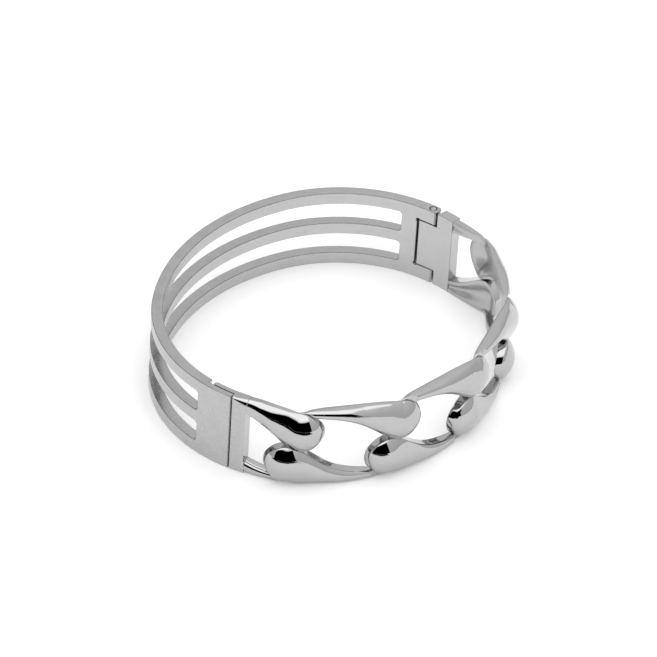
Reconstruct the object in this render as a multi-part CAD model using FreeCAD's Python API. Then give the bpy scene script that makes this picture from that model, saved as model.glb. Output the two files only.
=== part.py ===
"""Hinged oval bangle: a slotted rear band and a front half of ten pear-shaped links.

Frame: the origin is the centre of the oval on the base plane, +Z up, +X towards the
hinge, -X towards the clasp, -Y towards the links.  All sizes are in millimetres.
"""
import FreeCAD
import Part
import math
import os

# ---- overall band -------------------------------------------------------------------
HALF_LENGTH = 31.9            # oval centre to the outside of the hinge or the clasp
HALF_WIDTH = 27.65            # oval centre to the outside of the band at front or rear
JUNCTION_ANGLE = 59.6         # degrees from X where an end arc meets a side arc
BAND_HEIGHT = 14.5
WALL = 1.9

# ---- slotted rear band --------------------------------------------------------------
RAIL_HEIGHT = 2.2             # each of the three rails
SLOT_START_CLASP = 4.4        # Y where the slots begin beside the clasp
SLOT_START_HINGE = 5.35       # Y where the slots begin beside the hinge
SLOT_CORNER = 0.6

# ---- clasp lap joint ----------------------------------------------------------------
CLASP_SEAM = -2.1             # Y of the visible outer seam
SEAM_GAP = 0.25
LAP_OUTER = 1.0               # thickness of the rear band's outer leaf
LAP_FREE = 0.12               # running space between leaf and tongue
TONGUE_TIP = 2.1              # Y reached by the tongue
TONGUE_POCKET = 2.8           # Y where the rear band's inner leaf ends
TONGUE_BEVEL = 0.35

# ---- hinge --------------------------------------------------------------------------
PIN_RADIUS = 0.6
PIN_FREE = 0.04               # running space of the pin in knuckle and ears
PIN_Y = 0.2
EAR_HEIGHT = 2.6
EAR_FREE = 0.15               # space between an ear and the knuckle
EAR_RADIUS = 1.35             # round end of an ear about the pin
KNUCKLE_RADIUS = 2.2          # round end of the knuckle about the pin
KNUCKLE_FREE = 0.15
SHOULDER_FREE = 0.2           # space from the ears to the front half on the wrist side
SHOULDER_BEVEL = 0.5          # how much wider that space is on the outside
RELIEF_RADIUS = 0.35          # round relief at the corners of the hinge notch

# ---- front half ---------------------------------------------------------------------
LINK_PAIRS = 5
PLATE_LENGTH = 4.95           # outer arc from the oval's end to the first window
END_BAY = 0.476               # share of a pitch from a plate to the nearest crossing
VERTEX_INSET = 0.55           # crossing points of the link backs below the outer oval
HEAD_LEAD = 1.1               # head centre beyond its crossing point
HEAD_HALF_LENGTH = 3.45
HEAD_TOP_GAP = 0.35           # top of the head below the band's edge
HEAD_OVERLAP = 0.3            # how far a head reaches over the band's mid height
HEAD_DEPTH = 2.25             # back of a link to the crown of its head
CROWN_RISE = 1.95             # how much of that depth is domed
HEAD_BEND_RADIUS = 11.0       # the back of a head bends in past its crossing point
TAIL_TIP_HEIGHT = 0.95
TAIL_TIP_DEPTH = 1.1
TAIL_TIP_RISE = 0.1
TAIL_START = 0.3              # bare stretch from the crossing point to the tail's tip
TAIL_EMERGE = HEAD_LEAD + 0.7 * HEAD_HALF_LENGTH  # a tail comes out from behind a head
TAIL_TAPER = 0.3              # share of a link's height that grows evenly along it
SWELL_POWER = 2.2             # higher values keep the rest of that growth near the head
DEPTH_POWER = 1.2             # the same for the link's depth
RISE_POWER = 3.0              # the same for its doming
TOP_POWER = 8.0               # the same for the top edge's fall to the head
BOWL_DEPTH = 1.3              # hollow in the back of a head
BOWL_RIM = 1.2
CROSSING_SLOPE = 19.0         # degrees, slope of the soldered face between two heads

# ---- construction -------------------------------------------------------------------
FAR = 4.0 * HALF_LENGTH       # larger than anything in the model
MID_HEIGHT = BAND_HEIGHT / 2.0
HEAD_STATIONS = (0.36, 0.64, 0.85, 0.96, 0.995)
TAIL_STATION_COUNT = 10
CROWN_POINTS = 11
UP = FreeCAD.Vector(0, 0, 1)


def vec(x, y, z=0.0):
    return FreeCAD.Vector(x, y, z)


# ---- the oval -----------------------------------------------------------------------
_spread = math.tan(math.radians(JUNCTION_ANGLE))
_reach = 1.0 + _spread - 1.0 / math.cos(math.radians(JUNCTION_ANGLE))
END_CENTRE = (HALF_LENGTH - HALF_WIDTH) / _reach
SIDE_CENTRE = END_CENTRE * _spread
END_RADIUS = HALF_LENGTH - END_CENTRE
SIDE_RADIUS = HALF_WIDTH + SIDE_CENTRE
SIDE_ARC = SIDE_RADIUS * math.radians(90.0 - JUNCTION_ANGLE)
END_ARC = END_RADIUS * math.radians(JUNCTION_ANGLE)


def oval_point(normal_angle, offset):
    """Point of the oval, offset outwards, where its normal has this angle in degrees."""
    angle = math.radians(normal_angle)
    cosine = math.cos(angle)
    sine = math.sin(angle)
    if abs(cosine) >= math.cos(math.radians(JUNCTION_ANGLE)):
        radius = END_RADIUS + offset
        return vec(math.copysign(END_CENTRE, cosine) + radius * cosine, radius * sine)
    radius = SIDE_RADIUS + offset
    return vec(radius * cosine, radius * sine - math.copysign(SIDE_CENTRE, sine))


def front_angle(arc):
    """Normal angle at an arc length measured from the front middle, + to the hinge."""
    run = abs(arc)
    turn = math.degrees(min(run, SIDE_ARC) / SIDE_RADIUS)
    turn += math.degrees(max(run - SIDE_ARC, 0.0) / END_RADIUS)
    return -90.0 + math.copysign(turn, arc)


def oval_solid(offset, bottom, top):
    """Solid oval prism whose outline is the outer oval offset by this much."""
    corner = JUNCTION_ANGLE
    stops = (-corner, 0.0, corner, 90.0, 180.0 - corner, 180.0, 180.0 + corner, 270.0, 360.0 - corner)
    edges = []
    for first in range(0, len(stops) - 1, 2):
        points = [oval_point(angle, offset) for angle in stops[first:first + 3]]
        edges.append(Part.Arc(*points).toShape())
    face = Part.Face(Part.Wire(edges))
    face.translate(vec(0, 0, bottom))
    return face.extrude(vec(0, 0, top - bottom))


def ring(outer, inner, bottom, top):
    """Oval wall between two offsets of the outer oval."""
    return oval_solid(outer, bottom, top).cut(oval_solid(inner, bottom - 1.0, top + 1.0))


def block(x0, x1, y0, y1, z0=-FAR, z1=FAR):
    return Part.makeBox(x1 - x0, y1 - y0, z1 - z0, vec(x0, y0, z0))


def half_space(point, direction):
    """Large block on the side of the plane that the direction points to."""
    box = Part.makeBox(2 * FAR, 2 * FAR, FAR, vec(-FAR, -FAR, 0))
    turn = FreeCAD.Rotation(UP, direction)
    box.Placement = FreeCAD.Placement(point, turn)
    return box


# ---- hinge geometry shared by both halves -------------------------------------------
PIN_X = HALF_LENGTH - WALL / 2.0


def pin_cylinder(radius, bottom, top):
    return Part.makeCylinder(radius, top - bottom, vec(PIN_X, PIN_Y, bottom))


def largest(shape):
    return max(shape.Solids, key=lambda solid: solid.Volume)


# ---- rear band ----------------------------------------------------------------------
def slot_cutter(bottom, top):
    """Curved bar that cuts one slot, with rounded ends."""
    bar = ring(1.0, -WALL - 1.0, bottom, top)
    left = block(-FAR, 0, SLOT_START_CLASP, FAR)
    right = block(0, FAR, SLOT_START_HINGE, FAR)
    bar = bar.common(left.fuse(right).removeSplitter())
    ends = []
    for edge in bar.Edges:
        box = edge.BoundBox
        at_end = min(abs(box.YMin - SLOT_START_CLASP), abs(box.YMin - SLOT_START_HINGE)) < 1e-4
        if at_end and box.YLength < 1e-4 and box.ZLength < 1e-4:
            ends.append(edge)
    return bar.makeFillet(min(SLOT_CORNER, (top - bottom) / 3.0), ends)


def make_rear_band():
    wall = ring(0.0, -WALL, 0.0, BAND_HEIGHT)
    keep = block(-FAR, 0, CLASP_SEAM, FAR).fuse(block(0, FAR, PIN_Y - EAR_RADIUS, FAR))
    band = wall.common(keep)

    slot_height = (BAND_HEIGHT - 3 * RAIL_HEIGHT) / 2.0
    for index in range(2):
        bottom = RAIL_HEIGHT + index * (slot_height + RAIL_HEIGHT)
        band = band.cut(slot_cutter(bottom, bottom + slot_height))

    pocket = oval_solid(-LAP_OUTER, -1.0, BAND_HEIGHT + 1.0)
    pocket = pocket.common(block(-FAR, 0, CLASP_SEAM - 1.0, TONGUE_POCKET))
    band = band.cut(pocket)

    notch_top = PIN_Y + KNUCKLE_RADIUS + KNUCKLE_FREE
    notch = block(0, FAR, CLASP_SEAM - WALL, notch_top, EAR_HEIGHT, BAND_HEIGHT - EAR_HEIGHT)
    band = band.cut(notch)
    for level in (EAR_HEIGHT, BAND_HEIGHT - EAR_HEIGHT):
        inwards = 0.5 * RELIEF_RADIUS * (1 if level < MID_HEIGHT else -1)
        start = vec(PIN_X - 2 * WALL, notch_top - 0.5 * RELIEF_RADIUS, level + inwards)
        band = band.cut(Part.makeCylinder(RELIEF_RADIUS, 4 * WALL, start, vec(1, 0, 0)))

    ear_zone = block(PIN_X - 2 * WALL, FAR, -FAR, PIN_Y)
    band = band.cut(ear_zone.cut(pin_cylinder(EAR_RADIUS, -1.0, BAND_HEIGHT + 1.0)))
    band = band.cut(pin_cylinder(PIN_RADIUS + PIN_FREE, -1.0, BAND_HEIGHT + 1.0))
    return largest(band)


# ---- front plates -------------------------------------------------------------------
CHAIN_END = SIDE_ARC + END_ARC - PLATE_LENGTH      # arc from the front middle to a plate


def plate_plane(side):
    """Radial plane where a plate (side +1 hinge, -1 clasp) meets the links."""
    angle = front_angle(side * CHAIN_END)
    point = oval_point(angle, 0.0)
    tangent = vec(-math.sin(math.radians(angle)), math.cos(math.radians(angle)))
    return point, tangent * side


def make_clasp_plate():
    """Solid end of the front half with the tongue that slides under the rear leaf."""
    point, outwards = plate_plane(-1)
    front = half_space(point, outwards).common(block(-FAR, 0, -FAR, FAR))
    plate = ring(0.0, -WALL, 0.0, BAND_HEIGHT).common(front)
    plate = plate.common(block(-FAR, 0, -FAR, CLASP_SEAM - SEAM_GAP))
    tongue = ring(-LAP_OUTER - LAP_FREE, -WALL, 0.0, BAND_HEIGHT)
    tongue = tongue.common(block(-FAR, 0, CLASP_SEAM - 2 * SEAM_GAP, TONGUE_TIP))
    corner = oval_point(180.0 - math.degrees(TONGUE_TIP / END_RADIUS), -WALL)
    bevel = half_space(vec(corner.x, TONGUE_TIP - TONGUE_BEVEL), vec(1, 1, 0))
    return largest(plate.fuse(tongue.cut(bevel)).removeSplitter())


def make_hinge_plate():
    """Solid end of the front half with the knuckle that sits between the ears."""
    point, outwards = plate_plane(1)
    front = half_space(point, outwards).common(block(0, FAR, -FAR, FAR))
    wall = ring(0.0, -WALL, 0.0, BAND_HEIGHT)
    shoulder_y = PIN_Y - EAR_RADIUS - SHOULDER_FREE
    slope = vec(SHOULDER_BEVEL, WALL, 0)
    beyond = half_space(vec(HALF_LENGTH - WALL, shoulder_y), slope)
    plate = wall.common(front).cut(beyond)

    low = EAR_HEIGHT + EAR_FREE
    high = BAND_HEIGHT - EAR_HEIGHT - EAR_FREE
    reach = block(0, FAR, shoulder_y - 2 * WALL, PIN_Y, low, high)
    reach = reach.fuse(pin_cylinder(KNUCKLE_RADIUS, low, high))
    knuckle = ring(0.0, -WALL, low, high).common(reach).common(front)
    plate = plate.fuse(knuckle).removeSplitter()
    return largest(plate.cut(pin_cylinder(PIN_RADIUS + PIN_FREE, -1.0, BAND_HEIGHT + 1.0)))


# ---- links --------------------------------------------------------------------------
PITCH = 2.0 * CHAIN_END / (LINK_PAIRS - 1 + 2.0 * END_BAY)
HEAD_HALF_HEIGHT = (BAND_HEIGHT - HEAD_TOP_GAP - MID_HEIGHT + HEAD_OVERLAP) / 2.0
HEAD_CENTRE_Z = BAND_HEIGHT - HEAD_TOP_GAP - HEAD_HALF_HEIGHT


def crossing_arc(index):
    """Arc from the front middle to a crossing; 1 to LINK_PAIRS hold heads."""
    return (index - (LINK_PAIRS + 1) / 2.0) * PITCH


def crossing_point(index):
    return oval_point(front_angle(crossing_arc(index)), -VERTEX_INSET)


def link_frame(index):
    """Placement of an upper link: X runs from tail to head, -Y is outwards."""
    head = crossing_point(index)
    along = head.sub(crossing_point(index - 1)).normalize()
    turn = FreeCAD.Rotation(vec(1, 0), along)
    return FreeCAD.Placement(head, turn)


def link_length(index):
    return crossing_point(index).distanceToPoint(crossing_point(index - 1))


def bend_depth(x):
    """How far the back lies inwards of its straight line past the crossing point."""
    run = max(x, 0.0)
    return HEAD_BEND_RADIUS - math.sqrt(HEAD_BEND_RADIUS ** 2 - run * run)


def section(x, low, high, depth, wall):
    """Closed section of a link: flat back and sides, domed outside."""
    back = bend_depth(x)
    crown = []
    for step in range(CROWN_POINTS):
        level = math.cos(math.pi * step / (CROWN_POINTS - 1))
        rise = (depth - wall) * (1.0 - level * level)
        z = (low + high) / 2.0 + level * (high - low) / 2.0
        crown.append(vec(x, back - wall - rise, z))
    dome = Part.BSplineCurve()
    dome.interpolate(crown)
    top_line = Part.makeLine(vec(x, back, high), crown[0])
    bottom_line = Part.makeLine(crown[-1], vec(x, back, low))
    back_line = Part.makeLine(vec(x, back, low), vec(x, back, high))
    return Part.Wire([top_line, dome.toShape(), bottom_line, back_line])


def tail_section(x, length):
    """Section between the tail's tip and the widest place of the head."""
    along = (x + length) / (length + HEAD_LEAD)
    bulge = math.sin(math.pi / 2 * along ** SWELL_POWER) ** 2
    swell = TAIL_TAPER * along + (1.0 - TAIL_TAPER) * bulge
    drop = MID_HEIGHT + HEAD_OVERLAP - TAIL_TIP_HEIGHT
    height = TAIL_TIP_HEIGHT + drop * swell
    thicken = math.sin(math.pi / 2 * along) ** DEPTH_POWER
    depth = TAIL_TIP_DEPTH + (HEAD_DEPTH - TAIL_TIP_DEPTH) * thicken
    rise = TAIL_TIP_RISE + (CROWN_RISE - TAIL_TIP_RISE) * along ** RISE_POWER
    high = BAND_HEIGHT - HEAD_TOP_GAP * along ** TOP_POWER
    return section(x, BAND_HEIGHT - height, high, depth, depth - rise)


def head_section(share):
    """Section of the round end of the head, at a share of its half length."""
    round_off = math.sqrt(1.0 - share * share)
    x = HEAD_LEAD + share * HEAD_HALF_LENGTH
    low = HEAD_CENTRE_Z - HEAD_HALF_HEIGHT * round_off
    high = HEAD_CENTRE_Z + HEAD_HALF_HEIGHT * round_off
    wall = HEAD_DEPTH - CROWN_RISE
    return section(x, low, high, wall + CROWN_RISE * round_off ** 2, wall)


def link_body(length):
    """One link in its own frame, head at the origin, before it is hollowed."""
    sections = []
    start = TAIL_START - length
    for step in range(TAIL_STATION_COUNT):
        x = start + (HEAD_LEAD - start) * step / (TAIL_STATION_COUNT - 1)
        sections.append(tail_section(x, length))
    for share in HEAD_STATIONS:
        sections.append(head_section(share))
    return Part.makeLoft(sections, True, False)


def head_bowl():
    """Ball that hollows the back of a head."""
    opening = HEAD_HALF_HEIGHT - BOWL_RIM
    radius = (opening ** 2 + BOWL_DEPTH ** 2) / (2.0 * BOWL_DEPTH)
    centre = vec(HEAD_LEAD / 2.0, radius - BOWL_DEPTH, HEAD_CENTRE_Z - HEAD_OVERLAP)
    return Part.makeSphere(radius, centre)


def outside_of_back():
    """Space outside the back of a head, which the next link's tail stays clear of."""
    room = block(-HEAD_BEND_RADIUS, TAIL_EMERGE, -FAR, HEAD_BEND_RADIUS, -1.0, BAND_HEIGHT + 1.0)
    bend = Part.makeCylinder(HEAD_BEND_RADIUS, BAND_HEIGHT + 2.0, vec(0, HEAD_BEND_RADIUS, -1.0))
    return room.cut(bend)


def solder_plane(index):
    """Sloping plane between the two heads of a crossing; its direction points up."""
    angle = math.radians(front_angle(crossing_arc(index)))
    tangent = vec(-math.sin(angle), math.cos(angle))
    slope = math.radians(CROSSING_SLOPE)
    upwards = tangent * math.sin(slope) + UP * math.cos(slope)
    point = crossing_point(index)
    return vec(point.x, point.y, MID_HEIGHT), upwards


def make_upper_link(index):
    """Upper link 1 to LINK_PAIRS, or with LINK_PAIRS + 1 the rail that ends at the hinge."""
    link = link_body(link_length(index))
    if index <= LINK_PAIRS:
        link = link.cut(head_bowl())
    link.Placement = link_frame(index)
    if index > 1:
        cutter = outside_of_back()
        cutter.Placement = link_frame(index - 1)
        link = link.cut(cutter)
    if index == 1:
        point, outwards = plate_plane(-1)
        link = link.cut(half_space(point, outwards))
    if index > LINK_PAIRS:
        point, outwards = plate_plane(1)
        return largest(link.cut(half_space(point, outwards)))
    point, upwards = solder_plane(index)
    return largest(link.cut(half_space(point, upwards * -1.0)))


def half_turn(shape):
    """The same piece turned half round about the radial axis at the front middle."""
    turned = shape.copy()
    turned.rotate(vec(0, 0, MID_HEIGHT), vec(0, 1, 0), 180.0)
    return turned


def make_hinge_pin():
    return pin_cylinder(PIN_RADIUS, 0.0, BAND_HEIGHT)


def main():
    os.makedirs("parts", exist_ok=True)
    nodes = {
        "rear_band": make_rear_band(),
        "hinge_pin": make_hinge_pin(),
        "clasp_plate": make_clasp_plate(),
        "hinge_plate": make_hinge_plate(),
    }
    for index in range(1, LINK_PAIRS + 1):
        link = make_upper_link(index)
        nodes["upper_link_%d" % index] = link
        nodes["lower_link_%d" % (LINK_PAIRS + 1 - index)] = half_turn(link)
    rail = make_upper_link(LINK_PAIRS + 1)
    nodes["hinge_stub_rail"] = rail
    nodes["clasp_stub_rail"] = half_turn(rail)

    for name, shape in nodes.items():
        shape.exportStep("parts/%s.step" % name)
        print(name, "valid", shape.isValid(), "solids", len(shape.Solids), "volume", round(shape.Volume, 2))


main()
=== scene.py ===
"""Hinged bangle bracelet: polished sculpted links, satin plates and a slotted satin band.

Sizes in the dataclasses are millimetres in the row frame: +Z up, +X to the hinge,
-Y to the links.  Meshes are written in metres.
"""

import logging
import math
from dataclasses import dataclass, field
from enum import Enum

import bmesh
import bpy
import numpy as np
from mathutils import Matrix, Vector


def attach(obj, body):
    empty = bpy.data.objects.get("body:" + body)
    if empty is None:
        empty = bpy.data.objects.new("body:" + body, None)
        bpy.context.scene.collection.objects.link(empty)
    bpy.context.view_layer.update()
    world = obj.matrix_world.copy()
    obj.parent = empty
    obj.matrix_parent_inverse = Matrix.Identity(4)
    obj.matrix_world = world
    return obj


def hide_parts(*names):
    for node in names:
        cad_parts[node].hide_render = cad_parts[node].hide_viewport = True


LOG = logging.getLogger("bangle")
NOISE_SPAN = (0.3, 0.7)       # levels between which a noise shades the tone
GLOSS_SPAN = (0.25, 0.75)     # levels between which a noise dulls the gloss
VIEW_TURN = math.radians(58.2)    # heading of the view, from -Y towards -X
MM = 0.001
SAME_POINT = 2e-7             # metres: grid borders nearer than this are one
NO_LENGTH = 1e-8              # metres: an edge shorter than this is dropped
Numbers = np.ndarray | float
Material = bpy.types.Material
Object = bpy.types.Object
Socket = bpy.types.NodeSocket
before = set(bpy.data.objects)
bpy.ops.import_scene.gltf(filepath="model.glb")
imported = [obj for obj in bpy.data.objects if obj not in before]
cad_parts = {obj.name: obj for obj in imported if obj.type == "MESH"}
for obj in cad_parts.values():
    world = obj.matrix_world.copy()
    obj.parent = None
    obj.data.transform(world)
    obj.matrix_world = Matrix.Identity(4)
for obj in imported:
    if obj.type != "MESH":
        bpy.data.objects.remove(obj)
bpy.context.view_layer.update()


class Row(Enum):
    """The two rows of links."""

    UPPER = "upper"
    LOWER = "lower"


# ---- numbers shared by the surfaces --------------------------------------------------
def smooth_step(value: Numbers) -> Numbers:
    """Ramp from 0 to 1 with level ends.

    Args:
        value: Position along the ramp; clipped to 0..1.

    Returns:
        3t^2 - 2t^3 of the clipped position t.
    """
    t = np.clip(value, 0.0, 1.0)
    return t * t * (3.0 - 2.0 * t)


@dataclass(frozen=True)
class OvalForm:
    """Outer outline of the bangle: four tangent arcs."""

    half_length: float = 31.9
    half_width: float = 27.65
    junction: float = math.radians(59.6)

    @property
    def end_centre(self) -> float:
        """Distance from the middle to the centre of an end arc."""
        spread = math.tan(self.junction)
        return (self.half_length - self.half_width) / (1.0 + spread - 1.0 / math.cos(self.junction))

    @property
    def side_centre(self) -> float:
        """Distance from the middle to the centre of a side arc."""
        return self.end_centre * math.tan(self.junction)

    @property
    def end_radius(self) -> float:
        """Radius of the two end arcs."""
        return self.half_length - self.end_centre

    @property
    def side_radius(self) -> float:
        """Radius of the front and rear arcs."""
        return self.half_width + self.side_centre

    @property
    def side_arc(self) -> float:
        """Arc length from the front middle to the junction."""
        return self.side_radius * (math.pi / 2 - self.junction)

    @property
    def end_arc(self) -> float:
        """Arc length from the junction to the oval's end."""
        return self.end_radius * self.junction

    def front_angle(self, arc: float) -> float:
        """Normal angle at an arc length from the front middle.

        Args:
            arc: Arc length, positive towards the hinge.

        Returns:
            Angle of the outward normal in radians.
        """
        run = abs(arc)
        turn = min(run, self.side_arc) / self.side_radius
        turn += max(run - self.side_arc, 0.0) / self.end_radius
        return -math.pi / 2 + math.copysign(turn, arc)

    def point(self, angle: float, offset: float = 0.0) -> np.ndarray:
        """Point of the outline at a normal angle: the arc's centre plus radius times normal.

        Args:
            angle: Angle of the outward normal in radians.
            offset: Distance outwards from the outline.

        Returns:
            The point's x and y.
        """
        c, s = math.cos(angle), math.sin(angle)
        if abs(c) >= math.cos(self.junction):
            radius = self.end_radius + offset
            return np.array([math.copysign(self.end_centre, c) + radius * c, radius * s])
        radius = self.side_radius + offset
        return np.array([radius * c, radius * s - math.copysign(self.side_centre, s)])


@dataclass(frozen=True)
class ChainLayout:
    """Places of the crossings along the front half."""

    oval: OvalForm = OvalForm()
    link_pairs: int = 5
    plate_length: float = 4.95
    end_bay: float = 0.476
    vertex_inset: float = 0.55

    @property
    def chain_end(self) -> float:
        """Arc from the front middle to a plate."""
        return self.oval.side_arc + self.oval.end_arc - self.plate_length

    @property
    def pitch(self) -> float:
        """Arc from one crossing to the next."""
        return 2.0 * self.chain_end / (self.link_pairs - 1 + 2.0 * self.end_bay)

    def crossing_angle(self, index: int) -> float:
        """Normal angle at crossing 0 to link_pairs + 1."""
        return self.oval.front_angle((index - (self.link_pairs + 1) / 2.0) * self.pitch)

    def crossing(self, index: int) -> np.ndarray:
        """Point where the backs of two neighbouring links meet."""
        return self.oval.point(self.crossing_angle(index), -self.vertex_inset)

    def length(self, index: int) -> float:
        """Distance from a link's crossing back to the one before it."""
        return float(np.linalg.norm(self.crossing(index) - self.crossing(index - 1)))

    def axes(self, index: int) -> np.ndarray:
        """Link axes in the row frame.

        Args:
            index: Crossing that holds the link's head.

        Returns:
            Matrix columns: along the link, then inwards.
        """
        along = self.crossing(index) - self.crossing(index - 1)
        along = along / np.linalg.norm(along)
        return np.array([[along[0], -along[1]], [along[1], along[0]]])

    def plate_plane(self, side: int) -> tuple[np.ndarray, np.ndarray]:
        """Radial plane where a plate meets the links.

        Args:
            side: +1 at the hinge, -1 at the clasp.

        Returns:
            A point of the plane and its direction away from the links.
        """
        angle = self.oval.front_angle(side * self.chain_end)
        return self.oval.point(angle), side * np.array([-math.sin(angle), math.cos(angle)])


@dataclass(frozen=True)
class LinkForm:
    """Cross sections of one teardrop link."""

    band_height: float = 14.5
    bend_radius: float = 11.0
    bend_limit: float = 0.95
    # the head
    head_lead: float = 1.1
    head_half_length: float = 3.45
    head_top_gap: float = 0.35
    head_overlap: float = 0.3
    head_depth: float = 2.35
    crown_rise: float = 1.95
    crown_power: float = 0.85
    nose_round: float = 0.3
    nose_power: int = 4
    skirt_turn: float = 1.2
    crossing_slope: float = math.radians(19.0)
    solder_reach: float = 3.0
    emerge_share: float = 0.7
    # the tail, from its tip to the head
    tail_tip_height: float = 0.95
    tail_tip_depth: float = 1.1
    tail_tip_rise: float = 0.1
    tail_start: float = 0.3
    tail_taper: float = 0.3
    swell_power: float = 2.2
    depth_power: float = 1.2
    full_depth_place: float = 0.64
    rise_power: float = 3.0
    least_place: float = 1e-4
    top_power: float = 8.0
    # the side towards the other row
    mid_power: float = 0.95
    mid_rise: float = 1.55
    mid_run: float = 0.6
    skirt: float = 0.85
    skirt_start: float = 0.45
    skirt_run: float = 0.35
    # the edge that falls away at the band's top or bottom
    edge_power: float = 0.58
    edge_fall: float = 1.4
    edge_share: float = 0.8
    edge_depth_share: float = 0.78
    edge_blend_start: float = 0.45
    # corners and the hollow back
    edge_round: float = 0.16
    round_wall_share: float = 0.42
    round_half_share: float = 0.4
    hollow: float = 0.7
    hollow_run: float = 1.6
    shell: float = 0.9
    rim: float = 0.5
    least_inside: float = 0.05
    # where a tail leaves the head before it, and where a link flows into a plate
    clear_run: float = 1.6
    clear_fall: float = 2.2
    tip_fade: float = 5.0
    tip_thick: float = 3.0
    tip_proud: float = 0.15
    tip_blend: float = 0.25
    tip_drop: float = 0.4
    tip_drop_run: float = 2.5
    flow_length: float = 4.5
    # points
    tail_rows: int = 84
    head_rows: int = 64
    crown_points: int = 30
    corner_points: int = 4
    wall_points: int = 4
    back_points: int = 18

    @property
    def middle(self) -> float:
        """Height of the line between the two rows."""
        return self.band_height / 2.0

    @property
    def head_half_height(self) -> float:
        """Half of the head's full height."""
        return (self.band_height - self.head_top_gap - self.middle + self.head_overlap) / 2.0

    @property
    def head_centre(self) -> float:
        """Height of the head's middle."""
        return self.band_height - self.head_top_gap - self.head_half_height

    @property
    def emerge(self) -> float:
        """Where a tail comes out from behind the head before it."""
        return self.head_lead + self.emerge_share * self.head_half_length

    def bend(self, x: np.ndarray) -> np.ndarray:
        """Inward bend of the back past the crossing: depth of a circle's arc.

        Args:
            x: Places along the link.

        Returns:
            Distance inwards of the straight back.
        """
        run = np.clip(x, 0.0, self.bend_limit * self.bend_radius)
        return self.bend_radius - np.sqrt(self.bend_radius**2 - run * run)

    def sizes(self, x: np.ndarray, length: float) -> tuple[np.ndarray, ...]:
        """Sizes of the section at each place between the tail's tip and the head.

        The height grows by a sine squared of a power of the place, and the depth by a
        power of a quarter sine.

        Args:
            x: Places along the link, 0 at its crossing.
            length: Link length.

        Returns:
            Centre height, half height, full depth and crown rise.
        """
        along = np.clip((x + length) / (length + self.head_lead), self.least_place, 1.0)
        bulge = np.sin(np.pi / 2 * along**self.swell_power) ** 2
        swell = self.tail_taper * along + (1.0 - self.tail_taper) * bulge
        drop = self.middle + self.head_overlap - self.tail_tip_height
        high = self.band_height - self.head_top_gap * along**self.top_power
        low = self.band_height - self.tail_tip_height - drop * swell
        grown = self.head_depth - self.tail_tip_depth
        wall = self.tail_tip_depth + grown * np.sin(np.pi / 2 * along) ** self.depth_power
        wall -= self.tail_tip_rise + (self.crown_rise - self.tail_tip_rise) * along**self.rise_power
        full = np.minimum(along / self.full_depth_place, 1.0)
        depth = self.tail_tip_depth + grown * np.sin(np.pi / 2 * full) ** self.depth_power
        return (low + high) / 2.0, (high - low) / 2.0, depth, depth - wall

    def falling_side(
        self, x: np.ndarray, length: float, half: np.ndarray, depth: np.ndarray, rise: np.ndarray
    ) -> tuple[np.ndarray, np.ndarray]:
        """Crown of the side whose edge falls away.

        The rise is never less than a share of the section, and the curve is near a
        quarter round on the tail and flatter on the head.

        Args:
            x: Places along the link.
            length: Link length.
            half: Half heights.
            depth: Full depths.
            rise: Plain crown rises.

        Returns:
            Crown rise and power of the crown curve.
        """
        room = np.minimum(self.edge_share * half, self.edge_fall)
        fallen = np.maximum(rise, np.minimum(room, self.edge_depth_share * depth))
        along = np.clip((x + length) / (length + self.head_lead), 0.0, 1.0)
        blend = smooth_step((along - self.edge_blend_start) / (1.0 - self.edge_blend_start))
        return fallen, self.edge_power + (self.crown_power - self.edge_power) * blend

    def half_profile(
        self, half: np.ndarray, wall: np.ndarray, rise: np.ndarray, power: Numbers, skirt: Numbers
    ) -> tuple[np.ndarray, np.ndarray]:
        """Outline from the middle of the crown over one edge to the middle of the back.

        The crown is a power of a parabola, the side is straight, both edges are rounded
        by a curve between two points beside the corner, and the back is hollow inside a
        rim.

        Args:
            half: Half height of each row.
            wall: Straight depth of each row.
            rise: Crown rise of each row.
            power: Power of the crown curve of each row.
            skirt: How far the side reaches inwards past the back's line.

        Returns:
            Share of the half height, and distance inwards, for rows by points.
        """
        sizes = (half, wall, rise, power, skirt)
        half, wall, rise, power, skirt = (np.atleast_1d(a)[..., None] for a in sizes)
        radius = np.minimum(self.round_wall_share * wall, self.round_half_share * half)
        radius = np.minimum(self.edge_round, radius)
        edge = 1.0 - radius / half
        crown = edge * np.sin(np.linspace(0.0, np.pi / 2, self.crown_points))
        crown_y = -(wall + rise * (1.0 - crown**2) ** power)
        bow = np.linspace(0.0, 1.0, self.corner_points + 2)[1:-1]
        before, between, after = (1.0 - bow) ** 2, 2.0 * bow * (1.0 - bow), bow**2
        front = before * edge + between + after
        edge_y = -(wall + rise * (1.0 - edge**2) ** power)
        front_y = before * edge_y + between * -wall + after * (radius - wall)
        run = np.linspace(0.0, 1.0, self.wall_points)
        side_y = (radius - wall) + (skirt + wall - 2.0 * radius) * run
        side = np.ones_like(side_y)
        heel = before + between + after * edge
        heel_y = skirt - radius * before
        back = edge * (1.0 - np.linspace(0.0, 1.0, self.back_points))
        inside = back / np.maximum(1.0 - self.rim / half, self.least_inside)
        inside = np.clip(inside, 0.0, 1.0)
        room = np.clip(wall + rise - self.shell, 0.0, self.hollow)
        room = room * smooth_step((half - self.rim) / self.hollow_run)
        back_y = skirt * smooth_step(inside) - room * (1.0 - inside**2) ** 2
        rows = np.broadcast_shapes(crown_y.shape[:-1], side_y.shape[:-1], back_y.shape[:-1])
        shares = (crown, front, side, heel, back)
        depths = (crown_y, front_y, side_y, heel_y, back_y)
        share = np.concatenate([np.broadcast_to(a, (*rows, a.shape[-1])) for a in shares], axis=-1)
        depth = np.concatenate([np.broadcast_to(a, (*rows, a.shape[-1])) for a in depths], axis=-1)
        return share, depth


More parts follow.
